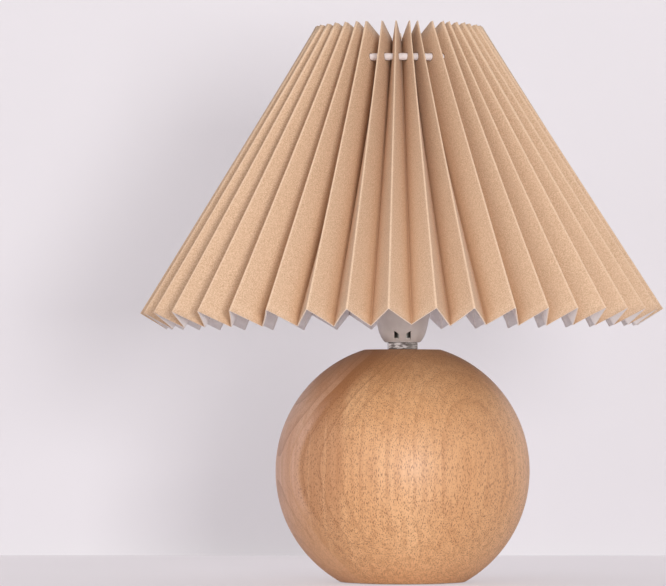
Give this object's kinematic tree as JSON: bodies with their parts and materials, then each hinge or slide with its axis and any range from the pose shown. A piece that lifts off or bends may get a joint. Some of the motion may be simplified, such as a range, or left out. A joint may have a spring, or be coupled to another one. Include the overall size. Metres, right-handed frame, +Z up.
{
  "type": "table lamp",
  "caption": "Table lamp with a turned wooden ball base, a screw lampholder and bulb, and a pleated cone shade gathered by a drawcord on a wire carrier.",
  "frame": {"origin": "centre of the felt foot's underside, on the lamp's vertical axis", "axes": "+Z up along the lamp's axis, -Y towards the front, +Y towards the cord hole at the back"},
  "size_m": [0.289, 0.2891, 0.3079],
  "materials": {
    "wood": "satin varnish over turned wood",
    "felt": "dense felt",
    "grommet_plastic": "moulded, matt",
    "plated_steel": "zinc plated",
    "bright_nut": "bright nickel plate",
    "holder_plastic": "moulded, satin",
    "insulator": "moulded, matt",
    "brass": "stamped sheet",
    "carrier_paint": "white powder coat",
    "shade_fabric": "pleated laminated fabric, matt, with a white lining",
    "drawcord_cotton": "braided cotton",
    "bulb_solder": "smooth",
    "bulb_black": "glossy",
    "bulb_cap_metal": "rolled thread",
    "bulb_white": "smooth",
    "bulb_diffuser": "opal, satin",
    "led_board": "white solder mask",
    "led_phosphor": "glossy"
  },
  "bodies": {
    "base": {"wooden_ball": "wood", "felt_foot": "felt", "cord_grommet": "grommet_plastic", "threaded_tube": "plated_steel", "base_washer": "plated_steel", "lock_washer": "plated_steel", "base_nut": "plated_steel", "top_nut": "bright_nut", "holder_cap": "holder_plastic", "holder_bush": "plated_steel", "terminal_block": "insulator", "centre_contact": "brass", "side_contact": "brass", "terminal_screws": "plated_steel", "socket_shell": "brass", "holder_skirt": "holder_plastic", "shade_ring": "holder_plastic"},
    "carrier": {"carrier_seat_ring": "carrier_paint", "carrier_arms": "carrier_paint", "carrier_top_ring": "carrier_paint"},
    "shade": {"pleated_shade": "shade_fabric", "drawcord": "drawcord_cotton"},
    "bulb_contact": {"bulb_tip": "bulb_solder"},
    "bulb": {"bulb_insulator": "bulb_black", "bulb_screw_shell": "bulb_cap_metal", "bulb_housing": "bulb_white", "bulb_diffuser": "bulb_diffuser", "bulb_led_board": "led_board", "bulb_led_chips": "led_phosphor"}
  },
  "joints": [
    {"name": "carrier_swivel", "type": "hinge", "parent": "base", "child": "carrier", "pos_m": [0, 0, 0.1594], "axis": [0, 0, 1], "continuous": true},
    {"name": "shade_lift", "type": "slide", "parent": "carrier", "child": "shade", "axis": [0, 0, 1], "range_m": [0, 0.16]},
    {"name": "bulb_lift", "type": "slide", "parent": "base", "child": "bulb_contact", "axis": [0, 0, 1], "range_m": [0, 0.01825]},
    {"name": "bulb_turn", "type": "hinge", "parent": "bulb_contact", "child": "bulb", "pos_m": [0, 0, 0.1612], "axis": [0, 0, 1], "range_deg": [0, 1800]}
  ],
  "couplings": [
    {"joint": "bulb_lift", "follows": "bulb_turn", "m_per_rad": 0.00057757}
  ]
}
